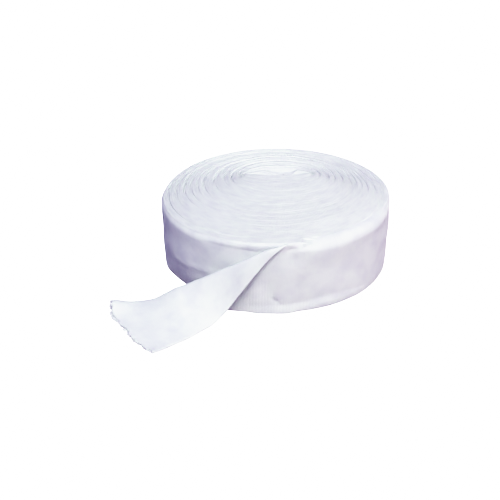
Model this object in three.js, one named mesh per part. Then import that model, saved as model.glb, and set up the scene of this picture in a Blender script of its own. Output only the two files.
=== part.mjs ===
// Stockinette roll: a knitted cotton tube, laid flat and wound round itself with no core.
// Its last turn leaves the front of the roll, folds over and lies down as a loose end.
// Millimetres, +Z up. The origin is the middle of the part's footprint, on the table.

import * as THREE from 'three';
import { mergeVertices } from 'three/addons/utils/BufferGeometryUtils.js';

// Driving sizes of the cloth
const tubeWidth = 78; // the tube laid flat, which is the height of every turn
const clothThickness = 2.2; // both layers of the flattened tube
const pieceGap = 0.3; // air between the wound roll and the loose end

// Driving sizes of the roll
const outerHalfLength = 124.5; // outer turn, along X
const outerHalfDepth = 118; // outer turn, along Y
const foldHalfLength = 32; // the first flat fold, which every turn goes round
const eyeHalfWidth = 4; // the slit left inside the first fold
const eyeDepth = 14;
const eyePinch = 0.62; // share of the slit's width that is pressed shut at its middle
const eyePinchLength = 11;
const undersideEyeDepth = 7;
const footTaper = 1.2; // the roll is this much smaller round its foot
const footHalfLength = 112; // inner limit of the flat ring that the roll stands on
const leaveAngle = THREE.MathUtils.degToRad(282); // where the last turn leaves the roll
const stepAngle = THREE.MathUtils.degToRad(0.3);
const turnsFadeIn = 25; // the last turn's step fades out over this far from the rim
const columns = 80;

// The main rings of the top, from the eye outwards. Inner turns were pushed up when the roll
// was taken off its winder, and their middle lies a little towards +X.
//   half: half length of the ring, rise: height over the rim, shift: its middle's place in X,
//   groove: depth of the furrow outside it
const rings = [
  { half: 36.5, rise: 22.4, shift: 4.0, groove: 1.4 },
  { half: 42, rise: 21.8, shift: 4.8, groove: 1.0 },
  { half: 51, rise: 20.0, shift: 5.0, groove: 2.2 },
  { half: 60, rise: 17.4, shift: 4.6, groove: 0.9 },
  { half: 70, rise: 14.6, shift: 3.8, groove: 1.7 },
  { half: 80, rise: 12.0, shift: 2.6, groove: 2.2 },
  { half: 86, rise: 10.6, shift: 1.6, groove: 0.9 },
  { half: 92, rise: 9.3, shift: 0.9, groove: 1.5 },
  { half: 99.5, rise: 7.2, shift: 0.3, groove: 2.2 },
  { half: 108, rise: 4.4, shift: 0, groove: 1.2 },
  { half: 115.5, rise: 2.2, shift: 0, groove: 1.4 },
];
const ringCrown = 0.9; // how far the turns between two furrows stand proud

// The loose end, a row for each section from the roll to its cut edge.
//   farX, farY: the tube's lower edge, which stays on the table
//   nearX, nearY, nearZ: its upper edge, which folds over forward and comes down
//   width: length of cloth between the two, more where the knit runs free at the cut
//   bow: how far the section's middle runs ahead of its two ends
const sections = [
  { farX: 23.5, farY: -115.1, nearX: 23.7, nearY: -112.5, nearZ: 80.4, width: 81.5, bow: 0 },
  { farX: 10, farY: -117.4, nearX: 10, nearY: -115.9, nearZ: 80.5, width: 82, bow: 0 },
  { farX: -4, farY: -117.8, nearX: -3, nearY: -121.1, nearZ: 73, width: 82, bow: 0 },
  { farX: -20, farY: -116.6, nearX: -15.5, nearY: -124.5, nearZ: 60.5, width: 81, bow: 0 },
  { farX: -37, farY: -113.6, nearX: -28, nearY: -127, nearZ: 45, width: 80, bow: 0 },
  { farX: -57, farY: -110, nearX: -40, nearY: -128.5, nearZ: 29, width: 80, bow: 0 },
  { farX: -79, farY: -106.5, nearX: -53, nearY: -131.5, nearZ: 12.5, width: 79, bow: 0 },
  { farX: -103, farY: -102, nearX: -68, nearY: -141, nearZ: 1.8, width: 78, bow: 0 },
  { farX: -126, farY: -97.5, nearX: -86, nearY: -158, nearZ: 1.1, width: 79, bow: 1 },
  { farX: -148, farY: -96.5, nearX: -104, nearY: -172.5, nearZ: 1.1, width: 88.5, bow: 4 },
  { farX: -170, farY: -100, nearX: -121.5, nearY: -185, nearZ: 1.1, width: 98.5, bow: 7 },
];
const cutHeading = THREE.MathUtils.degToRad(210); // the way that the cut edge looks, from +X
const kneeSharpness = 2.6; // how near the cloth comes to the corner that it bends round
const stepsAlong = 4; // rows of faces between two sections
const stepsAcross = 20;

const knitWhite = new THREE.MeshStandardMaterial({ color: 0xf1f2f7, roughness: 0.95, metalness: 0 });

// A closed mesh from a list of points and a list of triangles. Shared points are merged, and a
// triangle with two corners in one point is dropped.
function closedMesh(name, points, triangles) {
  const geometry = new THREE.BufferGeometry();
  const coordinates = points.flatMap((point) => point.toArray());
  geometry.setAttribute('position', new THREE.Float32BufferAttribute(coordinates, 3));
  geometry.setIndex(triangles.flat());
  const merged = mergeVertices(geometry, 1e-3);
  const corners = triangles.map((_, i) => [0, 1, 2].map((k) => merged.index.getX(3 * i + k)));
  merged.setIndex(corners.filter((corner) => new Set(corner).size === 3).flat());
  merged.computeVertexNormals();
  const mesh = new THREE.Mesh(merged, knitWhite);
  mesh.name = name;
  return mesh;
}

// Turns are confocal ellipses round the flat fold: long and thin inside, nearly round outside.
const depthRatio = outerHalfDepth / Math.sqrt(outerHalfLength ** 2 - foldHalfLength ** 2);

function turnPoint(half, shift, height, angle) {
  const halfDepth = depthRatio * Math.sqrt(Math.max(half ** 2 - foldHalfLength ** 2, 0));
  return new THREE.Vector3(shift + half * Math.cos(angle), halfDepth * Math.sin(angle), height);
}

// The slit's sides touch near its middle and stand open at both ends.
function pinched(point, shift, share) {
  const nearness = Math.exp(-(((point.x - shift) / eyePinchLength) ** 2));
  point.y *= 1 - share * eyePinch * nearness;
  return point;
}

// The roll's outline from the middle of its top, over the rim and down to the middle of its
// underside. pinch is the share of the eye's pinch that a row takes.
function rollProfile() {
  const eyeHalf = Math.hypot(foldHalfLength, eyeHalfWidth / depthRatio);
  const eye = rings[0];
  const outer = outerHalfLength;
  const foot = outer - footTaper;
  const rows = [
    { half: eyeHalf, height: tubeWidth + eye.rise - eyeDepth, shift: eye.shift, pinch: 1 },
    { half: eyeHalf + 0.3, height: tubeWidth + eye.rise - 2, shift: eye.shift, pinch: 1 },
    { half: eyeHalf + 1.4, height: tubeWidth + eye.rise + 0.4, shift: eye.shift, pinch: 0.8 },
  ];
  rings.forEach((ring, i) => {
    const next = rings[i + 1] ?? { half: outer - 4, rise: 0.6, shift: 0 };
    const pinch = 0.3 * Math.max(0, 1 - i);
    rows.push({ ...ring, height: tubeWidth + ring.rise - ring.groove, pinch });
    rows.push({
      half: (ring.half + next.half) / 2,
      height: tubeWidth + (ring.rise + next.rise) / 2 + ringCrown,
      shift: (ring.shift + next.shift) / 2,
      pinch: 0,
    });
  });
  rows.push(
    { half: outer - 3.4, height: tubeWidth + 0.2 },
    { half: outer - 0.9, height: tubeWidth - 3 },
    { half: outer, height: tubeWidth - 8 },
    { half: outer - footTaper * 0.3, height: tubeWidth * 0.5 },
    { half: foot + 0.2, height: 6 },
    { half: foot - 0.6, height: 2 },
    { half: foot - 2.4, height: 0 },
    { half: footHalfLength, height: 0 },
  );
  // Turns are all as high as the tube is wide, so the underside follows the top.
  for (const ring of rings.slice(2, -2).reverse()) {
    rows.push({ half: ring.half, height: ring.rise, shift: ring.shift });
  }
  rows.push(
    { half: eyeHalf + 0.6, height: eye.rise - 1, shift: eye.shift, pinch: 0.8 },
    { half: eyeHalf, height: eye.rise + undersideEyeDepth, shift: eye.shift, pinch: 1 },
  );
  return rows.map((row) => ({ shift: 0, pinch: 0, ...row }));
}

// Seen from above the turns grow clockwise, so the rim is one cloth smaller just after the
// place where the last turn leaves, and grows back to full size on its way round.
function woundRoll() {
  const rows = rollProfile();
  const step = clothThickness + pieceGap;
  const stepFull = outerHalfLength - 4;
  const stepFrom = outerHalfLength - turnsFadeIn;
  const points = [];
  for (let j = 0; j <= columns; j++) {
    const missing = step * (1 - j / columns);
    const heading = leaveAngle - (j % columns) * (2 * Math.PI / columns);
    const pastStep = j === columns ? stepAngle : 0;
    for (const row of rows) {
      const share = THREE.MathUtils.smoothstep(row.half, stepFrom, stepFull);
      const angle = heading + pastStep * share;
      const point = turnPoint(row.half - missing * share, row.shift, row.height, angle);
      points.push(pinched(point, row.shift, row.pinch));
    }
  }
  const columnCount = columns + 1;
  const at = (j, i) => (j % columnCount) * rows.length + i;
  const triangles = [];
  for (let j = 0; j < columnCount; j++) {
    for (let i = 0; i + 1 < rows.length; i++) {
      const nextOuter = at(j + 1, i + 1);
      triangles.push([at(j, i), at(j + 1, i), nextOuter], [at(j, i), nextOuter, at(j, i + 1)]);
    }
  }
  // The floor of the slit, above and below.
  const shift = rings[0].shift;
  const top = points.push(new THREE.Vector3(shift, 0, rows[0].height)) - 1;
  const bottom = points.push(new THREE.Vector3(shift, 0, rows.at(-1).height)) - 1;
  for (let j = 0; j < columnCount; j++) {
    triangles.push([top, at(j + 1, 0), at(j, 0)]);
    triangles.push([bottom, at(j, rows.length - 1), at(j + 1, rows.length - 1)]);
  }
  return closedMesh('wound_roll', points, triangles);
}

// A section of the loose end: it stands up from its far edge, bends over at a knee and comes
// down to its near edge, as a conic that leans towards the corner of the three.
class SectionCurve extends THREE.Curve {
  constructor(far, knee, near) {
    super();
    Object.assign(this, { far, knee, near });
  }

  getPoint(t, target = new THREE.Vector3()) {
    const weights = [(1 - t) ** 2, 2 * t * (1 - t) * kneeSharpness, t ** 2];
    const total = weights[0] + weights[1] + weights[2];
    target.set(0, 0, 0);
    [this.far, this.knee, this.near].forEach((p, i) => target.addScaledVector(p, weights[i] / total));
    return target;
  }
}

// The knee stands over the far edge, as high as the width of the cloth allows.
function sectionCurve(far, near, width) {
  let low = 0;
  let high = width;
  let curve;
  while (high - low > 0.01) {
    const rise = (low + high) / 2;
    curve = new SectionCurve(far, far.clone().setZ(far.z + rise), near);
    if (curve.getLength() < width) low = rise;
    else high = rise;
  }
  return curve;
}

// The cloth's middle surface, a row of points for each section. Smooth curves through the
// table's rows give the sections between them.
function looseEndSurface() {
  const middle = clothThickness / 2;
  const through = (point) => new THREE.CatmullRomCurve3(sections.map(point));
  const farEdge = through((row) => new THREE.Vector3(row.farX, row.farY, middle));
  const nearEdge = through((row) => new THREE.Vector3(row.nearX, row.nearY, row.nearZ));
  const cloth = through((row) => new THREE.Vector3(row.width, row.bow, 0));
  const ahead = new THREE.Vector3(Math.cos(cutHeading), Math.sin(cutHeading), 0);
  const steps = stepsAlong * (sections.length - 1);
  return Array.from({ length: steps + 1 }, (_, s) => {
    const { x: width, y: bow } = cloth.getPoint(s / steps);
    const near = nearEdge.getPoint(s / steps);
    near.z = Math.max(near.z, middle);
    const points = sectionCurve(farEdge.getPoint(s / steps), near, width).getPoints(stepsAcross);
    const chord = near.distanceTo(points[0]);
    const reaches = points.map((point) => point.distanceTo(points[0]) / chord);
    points.forEach((point, k) => point.addScaledVector(ahead, bow * Math.sin(Math.PI * reaches[k])));
    return points;
  });
}

// The loose end is that surface with the cloth's thickness on both sides.
function looseEnd() {
  const surface = looseEndSurface();
  const last = surface.length - 1;
  const faces = [[], []];
  surface.forEach((row, s) => {
    row.forEach((point, k) => {
      const along = surface[Math.min(s + 1, last)][k].clone().sub(surface[Math.max(s - 1, 0)][k]);
      const across = row[Math.min(k + 1, stepsAcross)].clone().sub(row[Math.max(k - 1, 0)]);
      const normal = along.cross(across).normalize().multiplyScalar(clothThickness / 2);
      faces[0].push(point.clone().add(normal));
      faces[1].push(point.clone().sub(normal));
    });
  });
  const points = faces.flat();
  for (const point of points) point.z = Math.max(point.z, 0);
  const at = (side, s, k) => side * faces[0].length + s * (stepsAcross + 1) + k;
  const triangles = [];
  const quad = (a, b, c, d) => triangles.push([a, b, c], [a, c, d]);
  for (let s = 0; s < last; s++) {
    for (let k = 0; k < stepsAcross; k++) {
      quad(at(0, s, k), at(0, s + 1, k), at(0, s + 1, k + 1), at(0, s, k + 1));
      quad(at(1, s, k), at(1, s, k + 1), at(1, s + 1, k + 1), at(1, s + 1, k));
    }
    quad(at(0, s, 0), at(1, s, 0), at(1, s + 1, 0), at(0, s + 1, 0));
    const k = stepsAcross;
    quad(at(0, s, k), at(0, s + 1, k), at(1, s + 1, k), at(1, s, k));
  }
  for (let k = 0; k < stepsAcross; k++) {
    quad(at(0, 0, k), at(0, 0, k + 1), at(1, 0, k + 1), at(1, 0, k));
    quad(at(0, last, k), at(1, last, k), at(1, last, k + 1), at(0, last, k + 1));
  }
  return closedMesh('loose_end', points, triangles);
}

const stockinetteRoll = new THREE.Group();
stockinetteRoll.add(woundRoll(), looseEnd());
const middle = new THREE.Box3().setFromObject(stockinetteRoll).getCenter(new THREE.Vector3());
stockinetteRoll.position.set(-middle.x, -middle.y, 0);
stockinetteRoll.updateMatrixWorld(true);

export default stockinetteRoll;
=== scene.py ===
import math

import bpy
import numpy as np
from bpy.props import FloatProperty, FloatVectorProperty, PointerProperty
from mathutils import Matrix, Vector


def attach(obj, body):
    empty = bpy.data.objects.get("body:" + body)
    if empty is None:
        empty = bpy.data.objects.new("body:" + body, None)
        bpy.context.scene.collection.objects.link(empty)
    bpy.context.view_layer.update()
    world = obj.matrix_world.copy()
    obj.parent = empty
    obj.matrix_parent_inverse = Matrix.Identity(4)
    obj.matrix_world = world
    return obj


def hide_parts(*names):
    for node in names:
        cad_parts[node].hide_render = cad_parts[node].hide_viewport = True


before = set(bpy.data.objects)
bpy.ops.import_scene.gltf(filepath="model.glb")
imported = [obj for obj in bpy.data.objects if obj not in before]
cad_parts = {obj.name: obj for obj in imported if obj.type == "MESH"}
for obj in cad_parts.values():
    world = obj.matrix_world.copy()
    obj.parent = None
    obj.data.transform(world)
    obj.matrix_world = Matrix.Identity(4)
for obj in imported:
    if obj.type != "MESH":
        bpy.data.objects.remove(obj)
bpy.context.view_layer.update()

bl_info = {
    "name": "Stockinette roll",
    "version": (1, 0, 0),
    "blender": (4, 5, 0),
    "location": "3D View > Sidebar > Stockinette roll",
    "description": "Dresses the packed model of a knitted tube, wound flat with its loose end lying out",
    "category": "Object",
}

MM = 0.001

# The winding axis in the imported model. Sizes below are millimetres from this axis and from the table.
AXIS = np.array([23.125, 34.119, 0.0])

# The roll. Turns are confocal ellipses round the first flat fold.
OUTER_HALF_LENGTH = 124.5
OUTER_HALF_DEPTH = 118.0
FOLD_HALF_LENGTH = 32.0
EYE_HALF_WIDTH = 3.2
LEAVE_ANGLE = math.radians(282)
LAST_STEP = 2.5  # how much smaller the rim is just past the place where the last turn leaves
TURNS = 47
DEPTH_RATIO = OUTER_HALF_DEPTH / math.sqrt(OUTER_HALF_LENGTH**2 - FOLD_HALF_LENGTH**2)
SLIT_HALF_LENGTH = math.hypot(FOLD_HALF_LENGTH, EYE_HALF_WIDTH / DEPTH_RATIO)

# Height of the raised turns over the rim, and the place of their middle in X, by half length.
#   half, rise, shift
TOP_FORM = np.array([
    (32.0, 22.6, 4.0),
    (36.5, 22.4, 4.0),
    (42.0, 21.8, 4.8),
    (51.0, 20.0, 5.0),
    (60.0, 17.4, 4.6),
    (70.0, 14.6, 3.8),
    (80.0, 12.0, 2.6),
    (86.0, 10.6, 1.6),
    (92.0, 9.3, 0.9),
    (99.5, 7.2, 0.3),
    (108.0, 4.4, 0.0),
    (115.5, 2.2, 0.0),
    (120.5, 0.6, 0.0),
    (124.5, 0.2, 0.0),
])
# The same for the underside, which is level under the outer turns.
FOOT_FORM = np.array([
    (32.0, 22.0),
    (42.0, 21.0),
    (51.0, 20.0),
    (60.0, 17.4),
    (70.0, 14.6),
    (80.0, 12.0),
    (86.0, 10.6),
    (92.0, 9.3),
    (99.5, 7.2),
    (112.0, 0.4),
    (125.0, 0.0),
])
# Turns that sank between their neighbours and show as the main rings.
#   half length where the ring lies, depth
SUNK_TURNS = np.array([
    (36.5, 1.4),
    (42.0, 1.0),
    (51.0, 2.2),
    (60.0, 0.9),
    (70.0, 1.7),
    (80.0, 2.2),
    (86.0, 0.9),
    (92.0, 1.5),
    (99.5, 2.2),
    (108.0, 1.2),
    (115.5, 0.7),
])
SUNK_GAP = 0.12  # share of a turn's thickness that stays open on both sides of a sunk turn
SUNK_REACH = 0.6  # how far those gaps reach along the strip before and after it, in turns
SUNK_FACTOR = 2.0  # how much deeper than in the table the cloth sinks at the ring itself
RING_FLOOR = 0.7  # half width of a ring's floor and of its sloping sides, in turns
RING_SIDES = 1.4
CROWN = 0.9  # how far the turns between two rings stand proud

# How the single turns vary. In front they lie closer and more even than behind.
STEPS_AT_SLIT = 80  # points along one turn at the slit, and how many more there are further out
STEPS_ADDED = 70
STEPS_FULL_TURN = 20  # the turn from which all of them are used
FRONT_EVEN = (-0.6, 0.4)  # sines of the angle between which the front's evenness passes into the back
FRONT_UNEVEN = 0.05  # share of the back's unevenness that is left in front
FRONT_RING = 0.03  # share of a ring's depth that is left in front
TURN_GAP = 0.004  # share of a turn's thickness that is open on both sides of every turn
TURN_UNEVEN = 0.13  # how much higher or lower a stretch of a turn stands
TURN_STRETCH = 0.31  # length of such a stretch, in turns
EDGE_LEVEL = 0.35  # how much of the top's slope is missing across one folded edge
EDGE_ROUND = 0.34  # how far a folded edge falls off to its sides at the back
EDGE_ROUND_FRONT = 0.01  # and how much is added to that everywhere
TOP_WAVES = 0.22  # height of small waves over the whole top
FOOT_UNEVEN = 0.25
LEAN_GAP = 0.3  # room between the leaning last turn and the turns below it
LEAN_STEP = 0.05  # how much lower the next turn starts beside the leaning cloth
LEAN_CLIMB = 0.45  # how steeply the turns beside it rise
TAPER_IN = (94, 119)  # half lengths between which the wall's form comes into play

# The outer turn's wall: how far it lies inside the rim's size, by height.
#   height, inset
WALL_FORM = np.array([
    (0.0, 1.9),
    (2.0, 1.4),
    (6.0, 1.0),
    (39.0, 0.36),
    (70.0, 0.0),
    (90.0, 0.0),
])

# The loose end, a row for each section from the roll to its cut edge.
#   far x, far y, near x, near y, near z, width, bow
SECTIONS = np.array([
    (23.5, -115.1, 22.8, -110.5, 79.6, 81.5, 0),
    (10, -117.4, 10, -116.8, 80.2, 82, 0),
    (-4, -117.8, -3, -121.6, 73, 82, 0),
    (-20, -116.6, -15.5, -124.5, 60.5, 81, 0),
    (-37, -113.6, -28, -127, 45, 80, 0),
    (-57, -110, -40, -128.5, 29, 80, 0),
    (-79, -106.5, -53, -131.5, 12.5, 79, 0),
    (-103, -102, -68, -141, 1.8, 78, 0),
    (-126, -97.5, -86, -158, 1.1, 79, 1),
    (-148.5, -96.5, -104.5, -172.5, 1.1, 88.5, 4),
    (-173, -99.5, -124, -186, 1.1, 99.5, 7),
])
CUT_HEADING = math.radians(210)  # the way that the cut edge looks, from +X
KNEE_SHARPNESS = 2.6  # how near the cloth comes to the corner that it bends round

# The strip's own sizes
TUBE_WIDTH = 78.0
CLOTH = 2.2  # both layers of the flattened tube
PLY = 0.95  # one layer, where the cut end lets it be seen
ACROSS_STEPS = 64  # faces from one folded edge to the other
FOLD_STEPS = 5  # faces round a folded edge
WALL_SPACING = 2.2  # distance between columns of points on the wall, and on the loose end
TAIL_SPACING = 1.2
MIDDLE_TO_FAR = 1.12  # how much longer the loose end is than its far edge, about

# Low at the left the turns draw in towards the foot
DRAWN_IN = 5.5
DRAWN_SECTOR = (190, 212, 238, 264)  # headings where it begins, is full, is still full, and ends
DRAWN_HEIGHT = 24.0  # how high it reaches
DRAWN_DROP = 6.0  # it would be full this far below the table

# The soft shoulder, where the last turn leans in over its neighbours
SHOULDER_RADIUS = 9.5
SHOULDER_BEND = math.radians(100)
SHOULDER_CLOTH = 18.0  # cloth from where the bend starts to the folded edge
SHOULDER_EXTRA = 9.5  # cloth that the lean takes up beyond the tube's width
START_DIP = 2.4  # how much lower the outer turn is where it comes out from under the fold
START_LENGTH = 0.035  # share of the turn over which that dip dies out
LEFT_LEAN = 0.45  # how strong the lean is at the left, where the right one is 1
# Shares of the turn, from where it comes out from under the fold, where the lean grows and fades
LEFT_GROWS = (0.02, 0.19)
LEFT_FADES = (0.3, 0.5)
RIGHT_GROWS = (0.74, 0.93)
RIGHT_FADES = (0.97, 1.0)
RIGHT_LOST = 0.6  # share of the right lean that is lost by the start of the loose end
TURNS_HELD = 3  # so many turns below it stay lowered up to there, and for the others that fades

# Soft troughs and ridges in the last turn and the loose end, given one by one. run is measured along
# the strip from where it leaves the roll, below 0 on the roll's wall. up is measured across it from
# its lower edge. A ridge on the wall stands out, and one on the flat end stands up from the table.
#   run, up, to run, to up, half width, height of the ridge, or depth of the trough below 0
MARKS = [
    (-640, 76, -738, 75, 1.8, 0.25),  # bead along the rim at the left, and the line under it
    (-650, 72, -740, 70.5, 2.0, -0.35),
    (-600, 31, -672, 38, 5.0, 0.9),  # crease low at the left
    (-575, 50, -640, 58, 10.0, -0.5),
    (-640, 62, -700, 50, 9.0, 0.4),
    (52, 8, 20, 9, 3.6, -0.35),  # line over the lip at the front's lower edge
    (20, 9, -20, 12, 4.0, -0.4),
    (-20, 12, -56, 11, 4.0, -0.35),
    (-56, 11, -88, 5, 3.6, -0.3),
    (46, 0, -30, 3, 5.0, 0.65),  # the lip, where the cloth flares out
    (-30, 3, -84, 1, 5.0, 0.45),
    (38, 37, 28, 17, 7.5, -0.45),  # the wrinkle beside the loose end's near edge
    (29, 15, 25, 13, 2.6, -0.9),
    (52, 30, 42, 10, 8.0, 0.5),
    (14, 40, 6, 20, 10.0, 0.5),
    (4, 62, -14, 50, 8.0, -0.6),  # slack below the start of the fold
    (13, 71, -8, 76, 2.6, -0.9),
    (-40, 40, -70, 30, 14.0, -0.5),
    (-95, 56, -130, 40, 15.0, 0.5),
    (-120, 20, -150, 30, 12.0, -0.5),
    (-60, 66, -110, 68, 6.0, 0.3),
    (106, 26, 112, 44, 3.5, -0.8),  # short creases where the loose end meets the table
    (128, 24, 134, 40, 5.0, 0.6),
    (150, 50, 176, 60, 9.0, 0.5),
    (172, 22, 196, 34, 8.0, 0.5),
    (100, 58, 118, 66, 5.0, -0.5),
]
WALL_UNEVEN = 0.4  # everywhere else on the wall the cloth wanders in and out by about as much
RIM_EVEN = (78, 70)  # heights between which that wandering dies out towards the rim
TABLE_LIFT = 0.6  # about how far the flat end stands off the table where it stands off most
TABLE_FROM = (95, 125)  # runs between which the cloth comes to lie on the table

# The open, cut end of the tube
MOUTH_LENGTH = 34.0  # how far in from the cut edge the two layers part
MOUTH_PLACE = 0.07  # where the mouth gapes most, as a share of the width from the far edge
MOUTH_SPREAD = 0.12
SECOND_MOUTH = 0.7  # a smaller gape, its place and its spread
SECOND_PLACE = 0.62
SECOND_SPREAD = 0.2
CURL = 0.5  # how far the cut edge of the upper layer turns up
CURL_LENGTH = 5.0
LOBES = 16  # lobes of the cut edge, round both layers
LOBE_DEPTH = 3.4
LOBE_LENGTH = 15.0  # how far in from the cut edge the knit is drawn along with the lobes
LIP_LENGTH = 3.5  # how far the lower layer reaches out at the far corner
LIP_PLACE = 14.0
LIP_SPREAD = 11.0
LOOPS = 110  # loops of yarn that the cut has freed
YARN_RADIUS = 0.22
YARN_SIDES = 5
YARN_STEPS = 9

# The first fold, which shows as a tongue in the slit's left half, as points of its middle line
#   x, y, height
TONGUE = np.array([
    (-31.0, 0.6, 101.9),
    (-25.0, 0.3, 102.8),
    (-18.0, 0.3, 102.9),
    (-11.0, 0.2, 102.5),
    (-6.0, -0.3, 101.6),
    (-2.0, -0.8, 100.2),
])
TONGUE_DEPTH = 4.0
TONGUE_FALL = 3.0  # how much lower it lies at the back
TONGUE_FOOT = 24.0
TONGUE_ROUND = 0.6
TONGUE_STEPS = 70

# The pinch, where the slit's back wall is pushed in
PINCH_X = -3.0
PINCH_HALF_LENGTH = 7.0
PINCH_DEPTH = 4.2
PUSH_REACH = 3.5  # how far out from the slit the turns are pushed along
PINCH_SINK_BEHIND = 3.8  # how much lower the turns lie there, behind the slit and in front of it
PINCH_SINK_AHEAD = 0.2
PINCH_SINK_REACH = 6.0

# Right of the pinch the back wall stays pushed in, with a trough behind it
CLOSED_TO = 17.0
CLOSED_DEPTH = 6.2
CLOSED_SINK = 3.2
CLOSED_SINK_OUT = 1.6  # how far out from the slit the trough is deepest
CLOSED_SINK_REACH = 3.0

# Further right the turns in front close the slit
MET_TO = 31.0
MET_DEPTH = 3.4

# At the left the back wall lies lower beside the tongue
LEFT_SINK = 1.3
LEFT_SINK_REACH = 4.0

UPPER_SIDE = 60.0  # points of the turns above this height belong to the top
WANDER = 0.8  # how far the turns wander from their ellipses
WANDER_STARTS = (33, 40)  # half lengths over which that grows in depth, and over which it dies out
WANDER_ENDS = (96, 112)

# The camera looks at a point on the table, given from the winding axis.
AIM = (-27.5, 12.0)
CAMERA_DISTANCE = 1130.0
CAMERA_HEIGHT = math.radians(30)
CAMERA_ROLL = math.radians(-0.8)
CAMERA_LENS = 72

FLOOR_HALF = 6000.0
FLOOR_GLOW = 2.2  # enough to keep the floor white under the tone curve

# The strengths and colours of the room and the lamps were fitted to the photograph's tones, and
# then rounded and changed. The room is dark at the left and below, pink at the right and
# blue above. The side lamp is green, which takes the room's pink off the front and the top.
#   axis, colour at its low end, colour at its high end
ROOM = (
    ("X", (0, 0, 0), (0.57, 0.42, 0.45)),
    ("Z", (0, 0, 0.05), (0, 0, 0.24)),
)
# The lamps are wide. The one behind is so low that the top hardly sees it.
#   name, azimuth to the right, height above the table, strength, colour
LAMPS = (
    ("key", 0, 50, 0.88, (1.0, 0.97, 0.9)),
    ("side_fill", 25, 50, 0.19, (0.25, 1.0, 0.15)),
    ("back_fill", 180, 3, 0.3, (0.82, 1.0, 0.72)),
)
LAMP_WIDTH = math.radians(40)

# Which tone shows each brightness of the scene's light. Bright tones are drawn together towards
# white and dark ones are deepened, as in the photograph.
#   light, tone
BRIGHTEST = 2.0
TONES = (
    (0.15, 0.065),
    (0.3, 0.195),
    (0.45, 0.385),
    (0.6, 0.58),
    (0.8, 0.79),
    (0.9, 0.87),
    (1.0, 0.925),
    (1.2, 0.965),
    (1.5, 0.99),
)


def linear(code):
    """An sRGB hex colour as linear red, green and blue."""
    parts = [int(code[i : i + 2], 16) / 255 for i in (1, 3, 5)]
    return tuple(c / 12.92 if c <= 0.04045 else ((c + 0.055) / 1.055) ** 2.4 for c in parts)


def ease(low, high, x):
    """0 below low, 1 above high, and a soft S between them."""
    t = np.clip((np.asarray(x, float) - low) / (high - low), 0, 1)
    return t * t * (3 - 2 * t)


def hump(x, width):
    """1 at 0, and a soft fall to both sides."""
    return np.exp(-((np.asarray(x, float) / width) ** 2))


def flat_hump(x, width):
    """The same with a flatter top and steeper sides."""
    return np.exp(-((np.asarray(x, float) / width) ** 4))


def distance_along(line):
    """The distance from the first point of a line to each of its points."""
    step = np.linalg.norm(np.diff(line, axis=0), axis=-1)
    return np.concatenate([[0], np.cumsum(step)])


def waves(seed, count, shortest, longest):
    """An uneven smooth field, about -1 to 1, from seeded waves of many headings and lengths."""
    rng = np.random.default_rng(seed)
    length = rng.uniform(shortest, longest, count)
    heading = rng.uniform(0, 2 * math.pi, count)
    phase = rng.uniform(0, 2 * math.pi, count)

    def field(x, y):
        total = np.zeros(np.broadcast(x, y).shape)
        for far, way, start in zip(length, heading, phase):
            place = x * math.cos(way) + y * math.sin(way)
            total += np.sin(place * (2 * math.pi / far) + start)
        return total / math.sqrt(count)

    return field


def half_depth(half):
    """Half depth of the ellipse with that half length."""
    return DEPTH_RATIO * np.sqrt(np.maximum(half**2 - FOLD_HALF_LENGTH**2, 0))


def half_of_turn(turn):
    """Half length of the outside of the strip after that many turns, counted from the slit.

    Half length and half depth together grow by the same amount with each turn. That sum is total,
    and the rest finds the half length of the ellipse that has it.
    """
    first = SLIT_HALF_LENGTH + EYE_HALF_WIDTH
    rim = OUTER_HALF_LENGTH - LAST_STEP
    last = rim + half_depth(rim)
    total = first + (last - first) * np.asarray(turn, float) / TURNS
    square = DEPTH_RATIO**2
    root = np.sqrt(total**2 + (square - 1) * (total**2 + square * FOLD_HALF_LENGTH**2))
    inner = (root - total) / (square - 1)
    return np.where(turn <= TURNS, inner, rim + LAST_STEP * (np.asarray(turn, float) - TURNS))


def angle_of_turn(turn):
    """Seen from above the strip winds clockwise as it grows."""
    return LEAVE_ANGLE - 2 * math.pi * (np.asarray(turn, float) - TURNS)


def form(table, at, column=1):
    """The value in that column of a table, for a place given in its first column."""
    return np.interp(at, table[:, 0], table[:, column])


# Seed, number of waves, shortest and longest wave
drift_x = waves(11, 7, 60, 150)
drift_y = waves(12, 7, 60, 150)
wall_waves = waves(21, 9, 24, 80)
table_waves = waves(22, 7, 26, 70)
turn_waves = waves(23, 9, 9, 40)


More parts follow.
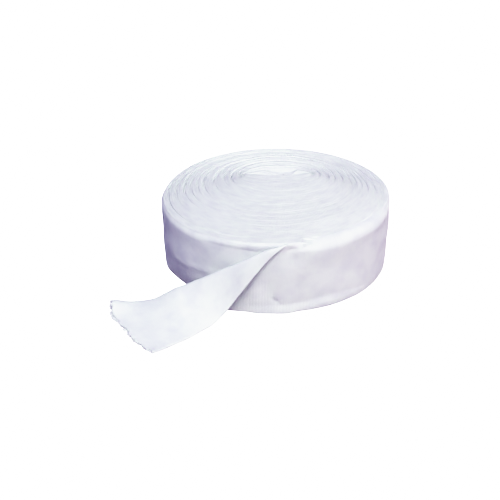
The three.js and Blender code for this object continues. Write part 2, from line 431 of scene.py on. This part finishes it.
def place(half, angle, height):
    """The point on the confocal ellipse of that half length, with the pinch of the slit.

    Each stretch of the slit starts and ends softly, over a few millimetres.
    """
    x = half * np.cos(angle)
    y = half_depth(half) * np.sin(angle)
    out = half - SLIT_HALF_LENGTH
    at_pinch = hump(x - PINCH_X, PINCH_HALF_LENGTH)
    closed = ease(PINCH_X + 1, PINCH_X + 6, x) * (1 - ease(CLOSED_TO - 4, CLOSED_TO + 3, x))
    met = ease(CLOSED_TO - 5, CLOSED_TO + 1, x) * (1 - ease(MET_TO - 3, MET_TO + 3, x))
    at_left = 1 - ease(PINCH_X - 8, PINCH_X - 2, x)

    behind = np.sin(angle) > 0
    push_behind = np.maximum(PINCH_DEPTH * at_pinch, CLOSED_DEPTH * closed)
    push = np.where(behind, push_behind, MET_DEPTH * met)
    y = y - push * hump(out, PUSH_REACH) * np.sin(angle)

    high = height > UPPER_SIDE
    pinch_sink = np.where(behind, PINCH_SINK_BEHIND, PINCH_SINK_AHEAD)
    height = height - pinch_sink * hump(out, PINCH_SINK_REACH) * at_pinch * high
    lower = CLOSED_SINK * hump(out - CLOSED_SINK_OUT, CLOSED_SINK_REACH) * closed
    lower = lower + LEFT_SINK * hump(out, LEFT_SINK_REACH) * at_left
    height = height - np.where(behind, lower, 0) * high

    wander = WANDER * (1 - ease(*WANDER_ENDS, half))
    x = x + form(TOP_FORM, half, 2) + wander * drift_x(x, y)
    y = y + wander * ease(*WANDER_STARTS, half) * drift_y(x, y)
    return np.stack(np.broadcast_arrays(x, y, height), -1)


def relief(run, up):
    """How far the listed marks push the cloth out of the roll, or up from the table."""
    out = np.zeros(np.broadcast(run, up).shape)
    for run_from, up_from, run_to, up_to, half_width, size in MARKS:
        along, across = run_to - run_from, up_to - up_from
        share = ((run - run_from) * along + (up - up_from) * across) / (along**2 + across**2)
        share = np.clip(share, 0, 1)
        apart = np.hypot(run - run_from - share * along, up - up_from - share * across)
        out += size * hump(apart, half_width)
    return out


def ring_faces(rows, around, first=0):
    """Faces of a tube whose rows of points each close on themselves, with both ends left open."""
    faces = []
    for i in range(rows - 1):
        for k in range(around):
            a = first + i * around + k
            b = first + i * around + (k + 1) % around
            faces.append((a, b, b + around, a + around))
    return faces


def closed_faces(rows, around, first=0):
    """The same with both ends closed."""
    last = first + (rows - 1) * around
    start_cap = tuple(first + k for k in range(around))[::-1]
    end_cap = tuple(last + k for k in range(around))
    return ring_faces(rows, around, first) + [start_cap, end_cap]


def grid_object(name, points, faces, knit, material):
    """A smooth object from millimetre points, with each point's place in the knit as its UV map."""
    mesh = bpy.data.meshes.new(name)
    mesh.from_pydata(((points + AXIS) * MM).tolist(), [], faces)
    layer = mesh.uv_layers.new(name="Knit")
    corners = np.array([loop.vertex_index for loop in mesh.loops])
    layer.data.foreach_set("uv", (knit[corners] * MM).astype(np.float32).ravel())
    mesh.polygons.foreach_set("use_smooth", [True] * len(mesh.polygons))
    mesh.materials.append(material)
    mesh.update()
    piece = bpy.data.objects.new(name, mesh)
    bpy.context.scene.collection.objects.link(piece)
    return piece


def add_node(tree, kind, settings=(), links=()):
    """Adds a node, sets its values and its input sockets, and joins sockets to other nodes' outputs."""
    node = tree.nodes.new(kind)
    for key, value in dict(settings).items():
        if isinstance(key, str) and hasattr(node, key):
            setattr(node, key, value)
        else:
            node.inputs[key].default_value = value
    for key, source in dict(links).items():
        tree.links.new(source, node.inputs[key])
    return node


def jersey_material(settings):
    """Bleached cotton jersey, knitted as a tube and wound face out.

    Loose, matt fibres: no gloss, and a bright haze only where the cloth turns away. The stitches
    are rows of V's whose columns run along the strip. They are about 1.3 mm wide in the real thing,
    too fine for the picture's 1.1 mm pixels, so they are drawn a third coarser. The yarn's
    unevenness makes the rows wander and the white a little denser in places.

    The UV map is in metres, so a noise's scale is the number of its patches to the metre: 14 mm
    where the rows wander, 22 mm where the knit is denser, and 0.4 mm for single fibres.
    """
    material = bpy.data.materials.get("bleached_cotton_jersey")
    if material:
        return material
    material = bpy.data.materials.new("bleached_cotton_jersey")
    material.use_nodes = True
    tree = material.node_tree
    shader = tree.nodes["Principled BSDF"]
    knit = add_node(tree, "ShaderNodeUVMap", {"uv_map": "Knit"}).outputs["UV"]

    wander = add_node(tree, "ShaderNodeTexNoise", {"Scale": 70, "Detail": 2}, {"Vector": knit})
    strayed = add_node(
        tree,
        "ShaderNodeVectorMath",
        {"operation": "MULTIPLY_ADD", 1: (1.6 * MM,) * 3},
        {0: wander.outputs["Color"], 2: knit},
    )
    split = add_node(tree, "ShaderNodeSeparateXYZ", links={"Vector": strayed.outputs["Vector"]})
    hair = add_node(tree, "ShaderNodeTexNoise", {"Scale": 2600, "Detail": 3}, {"Vector": knit})

    # The stitches' height, step by step: a name, what is done, and the values or earlier names.
    # leg is 1 in the middle of a furrow between two columns of V's, and 0 halfway to the next.
    sockets = {"x": split.outputs["X"], "y": split.outputs["Y"], "hair": hair.outputs["Fac"]}
    for name, operation, *values in (
        ("row", "DIVIDE", "x", settings.course),
        ("columns", "DIVIDE", "y", settings.wale),
        ("column", "FRACT", "columns"),
        ("off_middle", "SUBTRACT", "column", 0.5),
        ("half_leg", "ABSOLUTE", "off_middle"),
        ("leg", "MULTIPLY", "half_leg", 2),
        ("rib_phase", "MULTIPLY", "leg", math.pi),
        ("rib", "SINE", "rib_phase"),
        ("lean", "MULTIPLY", "leg", 0.6),
        ("slant", "ADD", "row", "lean"),
        ("strand_phase", "MULTIPLY", "slant", 2 * math.pi),
        ("strand", "SINE", "strand_phase"),
        ("strand_lift", "MULTIPLY_ADD", "strand", 0.35, 0.5),
        ("stitch", "MULTIPLY", "rib", "strand_lift"),
        ("fibre", "MULTIPLY", "hair", 0.6),
        ("height", "ADD", "stitch", "fibre"),
    ):
        fixed = {k: value for k, value in enumerate(values) if not isinstance(value, str)}
        joined = {k: sockets[value] for k, value in enumerate(values) if isinstance(value, str)}
        step = add_node(tree, "ShaderNodeMath", {"operation": operation, **fixed}, joined)
        sockets[name] = step.outputs[0]
    bump = add_node(
        tree,
        "ShaderNodeBump",
        {"Strength": 1.0, "Distance": settings.stitch_depth},
        {"Height": sockets["height"]},
    )
    tree.links.new(bump.outputs["Normal"], shader.inputs["Normal"])

    dense = add_node(tree, "ShaderNodeTexNoise", {"Scale": 45, "Detail": 5}, {"Vector": knit})
    share = add_node(
        tree, "ShaderNodeMapRange", {"From Min": 0.42, "From Max": 0.68}, {"Value": dense.outputs["Fac"]}
    )
    colour = add_node(
        tree,
        "ShaderNodeMix",
        {"data_type": "RGBA", 6: (*settings.cotton, 1), 7: (*settings.shade, 1)},
        {"Factor": share.outputs["Result"]},
    )
    tree.links.new(colour.outputs[2], shader.inputs["Base Color"])
    shader.inputs["Roughness"].default_value = 0.95
    shader.inputs["Specular IOR Level"].default_value = 0.2
    shader.inputs["Sheen Weight"].default_value = 0.08
    shader.inputs["Sheen Roughness"].default_value = 0.5
    return material


def drawn_in(angle, height):
    """How far the outermost turns draw in low at the left."""
    heading = np.degrees(angle) % 360
    begins, full, still_full, ends = DRAWN_SECTOR
    sector = ease(begins, full, heading) * (1 - ease(still_full, ends, heading))
    return DRAWN_IN * sector * hump(np.clip(height + DRAWN_DROP, 0, None), DRAWN_HEIGHT)


def shoulder(inset):
    """Height of the top of the leaning cloth, that far inside the wall."""
    centre = TUBE_WIDTH - CLOTH / 2 + SHOULDER_EXTRA - SHOULDER_CLOTH
    outside = SHOULDER_RADIUS + CLOTH / 2
    return centre + np.sqrt(outside**2 - (outside - np.clip(inset, 0, outside)) ** 2)


def softness(share):
    """How softly the last turn leans in over its neighbours, by the share of the turn that is past."""
    right = ease(*RIGHT_GROWS, share) * (1 - RIGHT_LOST * ease(*RIGHT_FADES, share))
    left = LEFT_LEAN * ease(*LEFT_GROWS, share) * (1 - ease(*LEFT_FADES, share))
    return right + left


# A strip's section, point by point: the place across its thickness, and the place in the knit. The
# upper folded edge comes first, and then the lower one.
TOP_ACROSS = [0.0, 0.06, 0.24, 0.5, 0.76, 0.94, 1.0]
FOOT_ACROSS = [1.0, 0.85, 0.5, 0.15, 0.0]
ACROSS = np.array(TOP_ACROSS + FOOT_ACROSS)
KNIT_UP = np.array([-2.2, -1.9, -1.1, 0, 1.1, 1.9, 2.2, 60, 61, 62, 63, 64])
IS_TOP = np.arange(len(ACROSS)) < len(TOP_ACROSS)
MIDDLE_OF_TOP = 3
ROUNDING = 1 - np.sqrt(np.maximum(1 - (2 * ACROSS - 1) ** 2, 0))


def strip_mesh(points, line):
    """Points, faces and knit of a strip whose sections are the rows of points."""
    rows, around = points.shape[:2]
    knit = np.stack(np.broadcast_arrays(distance_along(line)[:, None], KNIT_UP), -1)
    return points.reshape(-1, 3), closed_faces(rows, around), knit.reshape(-1, 2)


def sunk_turns():
    """Where the main rings lie, in turns from the slit: half a turn past the nearest whole turn."""
    turns = np.arange(TURNS + 1.0)
    return [round(float(np.interp(ring, half_of_turn(turns), turns))) + 0.5 for ring, _ in SUNK_TURNS]


def under_the_lean(top, half, turn):
    """The turns' height, lowered where the last turn leans in over them."""
    over = np.minimum(turn, TURNS - 1e-6) % 1
    held = turn > TURNS - TURNS_HELD
    soft = softness(over) * np.where(held, 1, 1 - ease(*RIGHT_FADES, over))
    inset = OUTER_HALF_LENGTH - half
    past = np.clip(inset - SHOULDER_RADIUS - CLOTH / 2, 0, None)
    beside = shoulder(inset) - LEAN_STEP + LEAN_CLIMB * past
    below = shoulder(inset) - CLOTH - LEAN_GAP
    cap = np.where(past > 0, beside, below)
    return np.where(top > cap, top + (cap - top) * soft, top)


def turns_mesh():
    """The wound strip as columns of closed sections, from the slit to where the last turn starts."""
    turn = [1.0]
    while turn[-1] < TURNS:
        turn.append(turn[-1] + 1 / (STEPS_AT_SLIT + STEPS_ADDED * min(turn[-1] / STEPS_FULL_TURN, 1)))
    turn = np.array(turn)[:, None]
    angle = angle_of_turn(turn)
    outer = half_of_turn(turn)
    inner = half_of_turn(turn - 1)
    # 1 at the back, where the turns are uneven, and small in front
    back = FRONT_UNEVEN + (1 - FRONT_UNEVEN) * ease(*FRONT_EVEN, np.sin(angle))
    sunk = sunk_turns()
    loose = TURN_GAP + SUNK_GAP * back * sum(flat_hump(turn - at, SUNK_REACH) for at in sunk)
    half = inner + (outer - inner) * (loose + (1 - 2 * loose) * ACROSS)
    middle = (outer + inner) / 2

    rng = np.random.default_rng(5)
    knots = np.arange(0, TURNS + 2, TURN_STRETCH)
    uneven = back * np.interp(turn, knots, rng.normal(0, TURN_UNEVEN, len(knots)))
    sloping = middle + (half - middle) * (1 - EDGE_LEVEL * back)
    top = TUBE_WIDTH + form(TOP_FORM, sloping) + CROWN + uneven
    for at, (_, depth) in zip(sunk, SUNK_TURNS):
        valley = 0.5 * flat_hump(turn - at, RING_FLOOR) + 0.5 * hump(turn - at, RING_SIDES)
        share = FRONT_RING + (1 - FRONT_RING) * back
        top = top - SUNK_FACTOR * (depth + CROWN) * valley * share
    top = under_the_lean(top, half, turn)
    flat = place(middle, angle, 0)
    top = top + TOP_WAVES * turn_waves(flat[..., 0], flat[..., 1])[:, :1]

    foot = form(FOOT_FORM, middle) + FOOT_UNEVEN * np.abs(uneven)
    round_off = (EDGE_ROUND_FRONT + EDGE_ROUND * back) * ROUNDING
    height = np.where(IS_TOP, top - round_off, foot + round_off)
    taper = form(WALL_FORM, height) + drawn_in(angle, height)
    points = place(half - taper * ease(*TAPER_IN, half), angle, height)
    return strip_mesh(points, points[:, MIDDLE_OF_TOP])


def tongue_mesh():
    """The first fold: a short stretch of the strip on its edge in the left half of the slit."""
    t = np.linspace(0, 1, TONGUE_STEPS)
    knots = np.linspace(0, 1, len(TONGUE))
    bends = np.polynomial.polynomial.polyfit(knots, TONGUE, 4)
    curve = np.polynomial.polynomial.polyval(t, bends).T
    line = curve[:, :2]
    heading = np.gradient(line, axis=0)
    heading /= np.linalg.norm(heading, axis=1, keepdims=True)
    side = np.column_stack([heading[:, 1], -heading[:, 0]])
    thick = TONGUE_DEPTH * np.sqrt(np.clip(1 - (2 * t - 1) ** 4, 0.02, 1))[:, None]
    plan = line[:, None] + side[:, None] * (thick * (ACROSS - 0.5))[..., None]
    round_off = TONGUE_ROUND * ROUNDING
    fall = TONGUE_FALL * (1 - ACROSS) * np.sin(math.pi * t)[:, None] ** 0.5
    height = np.where(IS_TOP, curve[:, 2:] - round_off - fall, TONGUE_FOOT + round_off)
    points = np.concatenate([plan, height[..., None]], -1)
    return strip_mesh(points, line)


def wall_column(angle, share, reach):
    """The middle of the last turn's cloth at one angle, for shares of its width in reach."""
    soft = float(softness(share))
    missing = LAST_STEP * (1 - share)
    dip = START_DIP * (1 - float(ease(0, START_LENGTH, share)))
    width = TUBE_WIDTH - CLOTH + SHOULDER_EXTRA * soft**2.5 - dip
    run = reach * width
    bend_from = width - 1e-6 - SHOULDER_CLOTH * soft
    radius = 1e-6 + SHOULDER_RADIUS * math.sqrt(soft)
    bend = SHOULDER_BEND * soft
    past = np.clip(run - bend_from, 0, None)
    turned = np.minimum(past / radius, bend) if soft > 0.01 else np.zeros_like(past)
    rest = past - turned * radius
    inset = radius * (1 - np.cos(turned)) + rest * np.sin(bend)
    height = CLOTH / 2 + np.minimum(run, bend_from) + radius * np.sin(turned) + rest * np.cos(bend)
    inset = inset + CLOTH / 2 + form(WALL_FORM, height)
    inset = inset + drawn_in(angle, height)
    half = OUTER_HALF_LENGTH - missing - inset
    x = half * math.cos(angle)
    y = half_depth(half) * math.sin(angle)
    return np.stack([x, y, height], -1)


def through(rows, place_in):
    """A point of the centripetal curve through the rows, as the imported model's own curves run."""
    last = len(rows) - 1
    i = min(int(place_in), last - 1)
    t = place_in - i
    p1, p2 = rows[i], rows[i + 1]
    p0 = rows[i - 1] if i > 0 else 2 * p1 - p2
    p3 = rows[i + 2] if i + 2 <= last else 2 * p2 - p1
    d0, d1, d2 = (np.linalg.norm(b - a) ** 0.5 for a, b in ((p0, p1), (p1, p2), (p2, p3)))
    same_place = 1e-4
    d1 = d1 if d1 > same_place else 1.0
    d0 = d0 if d0 > same_place else d1
    d2 = d2 if d2 > same_place else d1
    m1 = ((p1 - p0) / d0 - (p2 - p0) / (d0 + d1) + (p2 - p1) / d1) * d1
    m2 = ((p2 - p1) / d1 - (p3 - p1) / (d1 + d2) + (p3 - p2) / d2) * d1
    bend = -3 * p1 + 3 * p2 - 2 * m1 - m2
    twist = 2 * p1 - 2 * p2 + m1 + m2
    return p1 + m1 * t + bend * t**2 + twist * t**3


def section_column(place_in, reach):
    """The middle of the loose end's cloth at one section, for shares of its width in reach.

    The cloth rises from its far edge, bends over and comes down to its near edge. How high it
    rises is searched for, so that its length over the bend is the cloth's width.
    """
    middle = CLOTH / 2
    far_rows = np.column_stack([SECTIONS[:, 0], SECTIONS[:, 1], np.full(len(SECTIONS), middle)])
    far = through(far_rows, place_in)
    near = through(SECTIONS[:, 2:5], place_in)
    near[2] = max(near[2], middle)
    cloth_rows = np.column_stack([SECTIONS[:, 5], SECTIONS[:, 6], np.zeros(len(SECTIONS))])
    width, bow, _ = through(cloth_rows, place_in)
    t = np.linspace(0, 1, 401)[:, None]
    weights = np.concatenate([(1 - t) ** 2, 2 * t * (1 - t) * KNEE_SHARPNESS, t**2], 1)
    weights /= weights.sum(1, keepdims=True)
    low, high = 0.0, width
    while high - low > 0.01:
        rise = (low + high) / 2
        curve = weights @ np.array([far, far + (0, 0, rise), near])
        length = distance_along(curve)
        if length[-1] < width:
            low = rise
        else:
            high = rise
    at = np.column_stack([np.interp(reach * length[-1], length, curve[:, k]) for k in range(3)])
    share = np.linalg.norm(at - at[0], axis=1) / np.linalg.norm(at[-1] - at[0])
    ahead = np.array([math.cos(CUT_HEADING), math.sin(CUT_HEADING), 0])
    return at + ahead * (bow * np.sin(math.pi * share))[:, None]


def outer_cloth():
    """The last turn and the loose end in one: middle surface, and the run of each column."""
    reach = np.linspace(0, 1, ACROSS_STEPS + 1)
    columns = []
    length = 2 * math.pi * (OUTER_HALF_LENGTH + OUTER_HALF_DEPTH) / 2
    steps = round(length / WALL_SPACING)
    root_x = SECTIONS[0, 0]
    for i in range(steps + 1):
        share = i / steps
        angle = LEAVE_ANGLE - 2 * math.pi * share
        # The loose end's own sections take over from here.
        if share > 0.9 and OUTER_HALF_LENGTH * math.cos(angle) < root_x + 1:
            break
        columns.append(wall_column(angle, share, reach))
    sections = len(SECTIONS) - 1
    far_edge = distance_along(SECTIONS[:, :2])[-1]
    count = round(far_edge * MIDDLE_TO_FAR / TAIL_SPACING)
    for i in range(count + 1):
        place_in = sections * i / count
        column = section_column(place_in, reach)
        if place_in < 1:
            x = column[0, 0]
            angle = -math.acos(x / (OUTER_HALF_LENGTH - CLOTH / 2))
            blend = float(ease(0, 1, place_in))
            column = wall_column(angle, 1, reach) * (1 - blend) + column * blend
        columns.append(column)
    middle = np.array(columns)
    run = distance_along(middle[:, ACROSS_STEPS // 2])
    run -= run[len(columns) - count - 1]
    return middle, run


def normals(middle):
    """The way across the cloth at each point: inwards on the roll's wall, and up on the table."""
    normal = np.cross(np.gradient(middle, axis=0), np.gradient(middle, axis=1))
    return normal / np.linalg.norm(normal, axis=-1, keepdims=True)


def uneven_cloth():
    """The same with its marks, its unevenness and its lift off the table."""
    middle, run = outer_cloth()
    along = run[:, None]
    up = np.linspace(0, TUBE_WIDTH, ACROSS_STEPS + 1)[None]
    flat = ease(*TABLE_FROM, along)
    push = relief(along, up)
    push += WALL_UNEVEN * wall_waves(along, up) * (1 - flat) * ease(*RIM_EVEN, up)
    middle = middle - normals(middle) * (push * (1 - 2 * flat))[..., None]
    lift = TABLE_LIFT * (0.5 + 0.5 * table_waves(along, up)) * flat
    middle[..., 2] = np.maximum(middle[..., 2] + lift, CLOTH / 2)
    return middle, run


def cut_line(around, total):
    """How far the cut edge falls short, for places round both layers: lobes with sharp notches."""
    share = around / total

    def wave(times, start):
        return np.sin(2 * math.pi * (times * share + start))

    wander = 0.5 * wave(3, 0.1) + 0.35 * wave(7, 0.4)
    lobes = 1 - np.abs(np.sin(math.pi * (LOBES * share + 0.9 * wander)))
    slow = wave(4, 0.3) + 0.6 * wave(9, 0.7)
    short = LOBE_DEPTH * lobes * (0.75 + 0.25 * slow) + 0.5 * slow
    return short - LIP_LENGTH * hump(around - LIP_PLACE, LIP_SPREAD)


def outer_cloth_mesh(mouth):
    """The last turn and the loose end as a closed skin round both layers, with the cut end open."""
    middle, run = uneven_cloth()
    across = np.gradient(middle, axis=1)
    normal = normals(middle)
    half = CLOTH / 2
    reach = np.linspace(0, 1, ACROSS_STEPS + 1)[None]
    end = run[-1]
    parted = ease(end - MOUTH_LENGTH, end, run[:, None])
    gape = mouth * hump(reach - MOUTH_PLACE, MOUTH_SPREAD)
    gape = gape + SECOND_MOUTH * hump(reach - SECOND_PLACE, SECOND_SPREAD)
    gap = parted * gape
    gap += CURL * ease(end - CURL_LENGTH, end, run[:, None]) * (0.6 + 0.4 * np.sin(23 * reach))
    gap = gap[..., None]
    turn = np.linspace(0, math.pi, FOLD_STEPS + 1)[1:-1]

    def skin(depth):
        """Closed loops round the flattened tube, that deep inside its surface."""
        outside = middle - normal * (half - depth)
        inside = middle + normal * (half - depth + gap)
        folds = []
        for edge, way in ((-1, 1), (0, -1)):
            out = across[:, edge] * way
            out = out / np.linalg.norm(out, axis=-1, keepdims=True) * (half - depth + 0.25 * gap[:, edge])
            centre = (outside[:, edge] + inside[:, edge]) / 2
            rise = (inside[:, edge] - outside[:, edge]) / 2 * way
            folds.append(np.stack([centre - rise * math.cos(a) + out * math.sin(a) for a in turn], 1))
        return np.concatenate([outside, folds[0], inside[:, ::-1], folds[1]], 1)

    up = np.linspace(0, TUBE_WIDTH, ACROSS_STEPS + 1)
    fold_up = np.linspace(0, math.pi * half, FOLD_STEPS + 1)[1:-1]
    around = np.concatenate([up, TUBE_WIDTH + fold_up, TUBE_WIDTH + math.pi * half + up])
    around = np.concatenate([around, around[-1] + fold_up])
    total = around[-1] + fold_up[0]
    skin_out = skin(0)
    first = int(np.searchsorted(run, end - MOUTH_LENGTH))
    skin_in = skin(PLY)[first:]
    ahead = skin_out[-1] - skin_out[-3]
    ahead /= np.linalg.norm(ahead, axis=-1, keepdims=True)
    shift = -cut_line(around, total)[None, :, None] * ahead[None]
    shift = shift * (ease(end - LOBE_LENGTH, end, run) ** 1.5)[:, None, None]
    skin_out = skin_out + shift
    skin_in = skin_in + shift[first:]
    skin_out[..., 2] = np.maximum(skin_out[..., 2], 0)
    skin_in[..., 2] = np.maximum(skin_in[..., 2], PLY)

    # The outside, the pocket between the layers, and the cut edge that joins the two
    rows, width = skin_out.shape[:2]
    pocket = rows * width
    faces = [face[::-1] for face in ring_faces(rows, width)]
    faces.append(tuple(range(width)))
    faces += ring_faces(len(skin_in), width, pocket)
    faces.append(tuple(pocket + k for k in range(width))[::-1])
    last_in = pocket + (len(skin_in) - 1) * width
    for k in range(width):
        n = (k + 1) % width
        faces.append((pocket - width + k, last_in + k, last_in + n, pocket - width + n))
    points = np.concatenate([skin_out.reshape(-1, 3), skin_in.reshape(-1, 3)])
    run_all = np.concatenate([run, run[first:]])[:, None]
    knit = np.stack(np.broadcast_arrays(run_all, around), -1).reshape(-1, 2)
    edge = (skin_out[-1] + skin_in[-1]) / 2
    return points, faces, knit, edge, ahead


def loops_mesh(edge, ahead):
    """Short loops of yarn that stand out of the cut edge of both layers."""
    rng = np.random.default_rng(31)
    place_of = distance_along(np.concatenate([edge, edge[:1]]))
    sides = np.linspace(0, 2 * math.pi, YARN_SIDES + 1)[:-1][None, :, None]
    turn = np.linspace(-0.5, math.pi + 0.5, YARN_STEPS)[:, None]
    points = []
    faces = []
    for place_on in np.sort(rng.uniform(0, place_of[-1], LOOPS)):
        k = min(int(np.searchsorted(place_of, place_on)) - 1, len(edge) - 1)
        k = max(k, 0)
        root = edge[k]
        out = ahead[k]
        beside = edge[(k + 1) % len(edge)] - root
        beside = beside / max(np.linalg.norm(beside), 1e-6)
        wide, long = rng.uniform(0.3, 0.6), rng.uniform(0.3, 1.0)
        tilt = np.array([0, 0, rng.uniform(-0.3, 0.6)])
        line = root + beside * wide * np.cos(turn) + (out * long + tilt) * np.sin(turn)
        heading = np.gradient(line, axis=0)
        heading /= np.linalg.norm(heading, axis=1, keepdims=True)
        one = np.cross(heading, np.cross(out, beside))
        one /= np.linalg.norm(one, axis=1, keepdims=True)
        two = np.cross(heading, one)
        ring = one[:, None] * np.cos(sides) + two[:, None] * np.sin(sides)
        ring = line[:, None] + YARN_RADIUS * ring
        ring[..., 2] = np.maximum(ring[..., 2], 0.02)
        faces += closed_faces(YARN_STEPS, YARN_SIDES, len(points) * YARN_STEPS * YARN_SIDES)
        points.append(ring.reshape(-1, 3))
    points = np.concatenate(points)
    return points, faces, points[:, :2]


def make_camera(scene):
    """The camera in front of the roll, aimed down at it and rolled as the photograph is."""
    data = bpy.data.cameras.new("camera")
    data.sensor_width = 36
    data.lens = CAMERA_LENS
    camera = bpy.data.objects.new("camera", data)
    scene.collection.objects.link(camera)
    target = Vector(((AXIS[0] + AIM[0]) * MM, (AXIS[1] + AIM[1]) * MM, 0))
    away = CAMERA_DISTANCE * MM
    back, up = away * math.cos(CAMERA_HEIGHT), away * math.sin(CAMERA_HEIGHT)
    camera.location = target + Vector((0, -back, up))
    aim = (target - camera.location).to_track_quat("-Z", "Y").to_matrix()
    rolled = aim @ Matrix.Rotation(CAMERA_ROLL, 3, "Z")
    camera.matrix_world = Matrix.Translation(camera.location) @ rolled.to_4x4()
    scene.camera = camera


def make_floor(scene):
    """Matt white paper: no gloss and no grain. It glows, so that it stays white in the picture.

    The floor is left out of the bounced light, which keeps the shaded side as deep as the
    photograph has it.
    """
    size = FLOOR_HALF * MM
    corners = [(-size, -size, 0), (size, -size, 0), (size, size, 0), (-size, size, 0)]
    mesh = bpy.data.meshes.new("floor")
    mesh.from_pydata(corners, [], [(0, 1, 2, 3)])
    floor = bpy.data.objects.new("floor", mesh)
    scene.collection.objects.link(floor)
    floor.visible_diffuse = False
    material = bpy.data.materials.new("matt_white_paper")
    material.use_nodes = True
    shader = material.node_tree.nodes["Principled BSDF"]
    shader.inputs["Base Color"].default_value = (*linear("#f6f6f8"), 1)
    shader.inputs["Roughness"].default_value = 0.9
    shader.inputs["Emission Color"].default_value = (1, 1, 1, 1)
    shader.inputs["Emission Strength"].default_value = FLOOR_GLOW
    mesh.materials.append(material)


def make_room(scene):
    """Soft light from all round: a gradient for each row of ROOM, added together."""
    world = bpy.data.worlds.new("soft_room")
    world.use_nodes = True
    tree = world.node_tree
    direction = add_node(tree, "ShaderNodeTexCoord").outputs["Generated"]
    split = add_node(tree, "ShaderNodeSeparateXYZ", links={"Vector": direction})
    sides = []
    for axis, low, high in ROOM:
        share = add_node(tree, "ShaderNodeMapRange", {"From Min": -1}, {"Value": split.outputs[axis]})
        side = add_node(
            tree,
            "ShaderNodeMix",
            {"data_type": "RGBA", 6: (*low, 1), 7: (*high, 1)},
            {"Factor": share.outputs["Result"]},
        )
        sides.append(side.outputs[2])
    room = add_node(
        tree,
        "ShaderNodeMix",
        {"data_type": "RGBA", "blend_type": "ADD", "Factor": 1.0},
        {6: sides[0], 7: sides[1]},
    )
    tree.links.new(room.outputs[2], tree.nodes["Background"].inputs["Color"])
    scene.world = world


def make_lamps(scene):
    """A distant lamp for each row of LAMPS."""
    for name, azimuth, height, strength, colour in LAMPS:
        lamp = bpy.data.lights.new(name, "SUN")
        lamp.energy = strength * math.pi
        lamp.angle = LAMP_WIDTH
        lamp.color = colour
        light = bpy.data.objects.new(name, lamp)
        scene.collection.objects.link(light)
        across, rise = math.radians(azimuth), math.radians(height)
        level = math.cos(rise)
        towards = Vector((math.sin(across) * level, -math.cos(across) * level, math.sin(rise)))
        light.location = towards * 2
        light.rotation_mode = "QUATERNION"
        light.rotation_quaternion = (-towards).to_track_quat("-Z", "Y")


def set_tones(view):
    """Shows the scene's light through the tone curve."""
    view.view_transform = "Standard"
    view.use_curve_mapping = True
    view.curve_mapping.white_level = (BRIGHTEST,) * 3
    combined = view.curve_mapping.curves[3].points
    for light, tone in TONES:
        combined.new(light / BRIGHTEST, tone)
    view.curve_mapping.update()


class ClothSettings(bpy.types.PropertyGroup):
    """Sizes and colours that a user may change"""

    cotton: FloatVectorProperty(
        name="Cotton",
        description="Colour of the bleached cotton",
        subtype="COLOR",
        min=0,
        max=1,
        default=linear("#f5f6fa"),
    )
    shade: FloatVectorProperty(
        name="Shade",
        description="Colour of the cotton where it looks a little denser",
        subtype="COLOR",
        min=0,
        max=1,
        default=linear("#ebebf3"),
    )
    wale: FloatProperty(
        name="Wale",
        description="Width of one column of stitches, as drawn",
        unit="LENGTH",
        default=1.8 * MM,
    )
    course: FloatProperty(
        name="Course",
        description="Height of one row of stitches, as drawn",
        unit="LENGTH",
        default=1.5 * MM,
    )
    stitch_depth: FloatProperty(
        name="Stitch depth",
        description="How deep the furrows between the stitches look",
        unit="LENGTH",
        default=0.28 * MM,
    )
    mouth: FloatProperty(
        name="Mouth",
        description="How far the two layers stand apart at the cut end",
        unit="LENGTH",
        default=5.5 * MM,
    )


class STOCKINETTE_OT_turns(bpy.types.Operator):
    """Winds the strip from the slit to the last turn"""

    bl_idname = "stockinette.turns"
    bl_label = "Wind the turns"

    def execute(self, context):
        material = jersey_material(context.scene.stockinette)
        for name, mesh in (("wound_turns", turns_mesh()), ("first_fold", tongue_mesh())):
            piece = grid_object(name, *mesh, material)
            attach(piece, "root")
            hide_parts("wound_roll")
        return {"FINISHED"}


class STOCKINETTE_OT_outer_cloth(bpy.types.Operator):
    """Lays the last turn round the roll and its loose end on the table"""

    bl_idname = "stockinette.outer_cloth"
    bl_label = "Lay the last turn and the loose end"

    def execute(self, context):
        settings = context.scene.stockinette
        material = jersey_material(settings)
        *mesh, edge, ahead = outer_cloth_mesh(settings.mouth / MM)
        piece = grid_object("outer_turn_and_loose_end", *mesh, material)
        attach(piece, "root")
        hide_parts("wound_roll", "loose_end")
        loops = grid_object("cut_edge_loops", *loops_mesh(edge, ahead), material)
        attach(loops, "root")
        return {"FINISHED"}


class STOCKINETTE_OT_stage(bpy.types.Operator):
    """Makes the camera, the floor and the lights"""

    bl_idname = "stockinette.stage"
    bl_label = "Make the stage"

    def execute(self, context):
        make_camera(context.scene)
        make_floor(context.scene)
        make_room(context.scene)
        make_lamps(context.scene)
        set_tones(context.scene.view_settings)
        return {"FINISHED"}


class STOCKINETTE_PT_panel(bpy.types.Panel):
    """Lists the settings and the steps"""

    bl_idname = "STOCKINETTE_PT_panel"
    bl_label = "Stockinette roll"
    bl_space_type = "VIEW_3D"
    bl_region_type = "UI"
    bl_category = "Stockinette roll"

    def draw(self, context):
        for setting in ClothSettings.__annotations__:
            self.layout.prop(context.scene.stockinette, setting)
        for step in STEPS:
            self.layout.operator(step.bl_idname)


STEPS = (STOCKINETTE_OT_stage, STOCKINETTE_OT_turns, STOCKINETTE_OT_outer_cloth)
CLASSES = (ClothSettings, *STEPS, STOCKINETTE_PT_panel)


def register():
    for made in CLASSES:
        bpy.utils.register_class(made)
    bpy.types.Scene.stockinette = PointerProperty(type=ClothSettings)


def unregister():
    del bpy.types.Scene.stockinette
    for made in reversed(CLASSES):
        bpy.utils.unregister_class(made)


def main():
    register()
    bpy.ops.stockinette.stage()
    bpy.ops.stockinette.turns()
    bpy.ops.stockinette.outer_cloth()


if __name__ == "__main__":
    main()
